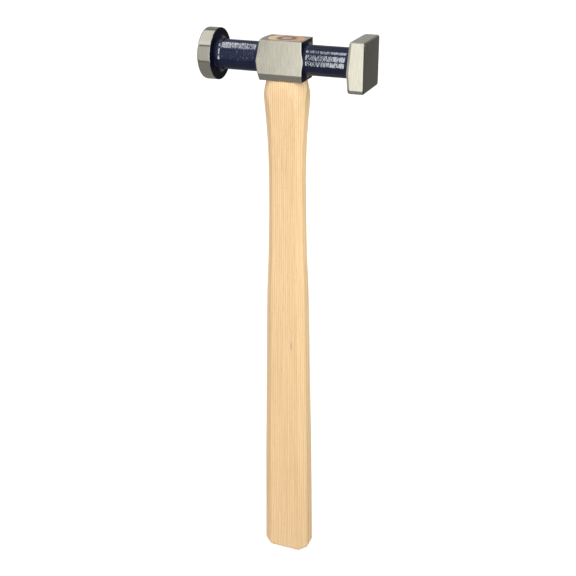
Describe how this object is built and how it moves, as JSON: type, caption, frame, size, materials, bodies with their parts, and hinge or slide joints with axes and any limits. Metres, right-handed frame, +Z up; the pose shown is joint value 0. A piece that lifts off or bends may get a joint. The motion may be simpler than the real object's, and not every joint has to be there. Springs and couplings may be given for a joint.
{
  "type": "body hammer",
  "caption": "Body hammer with a round and a square planishing face on one forged head, wedged on a straight octagonal wooden handle.",
  "frame": {"origin": "centre of the handle's flat butt end", "axes": "+Z up the handle to the head, +X from the handle towards the square face, -Y towards the front cheek of the eye block"},
  "size_m": [0.1014, 0.03, 0.3596],
  "materials": {
    "ground_steel": "ground and brushed steel on both faces' edges, the eye block and the square flange",
    "navy_enamel": "thick glossy navy enamel on the necks, the disc's back and the ends of the eye block",
    "ash_wood": "fine straight-grained pale ash, smooth, with a thin satin varnish",
    "wedge_steel": "plain grey steel, dull"
  },
  "bodies": {
    "root": {"head": "ground_steel", "handle": "ash_wood", "ring_wedge": "wedge_steel"}
  },
  "joints": []
}
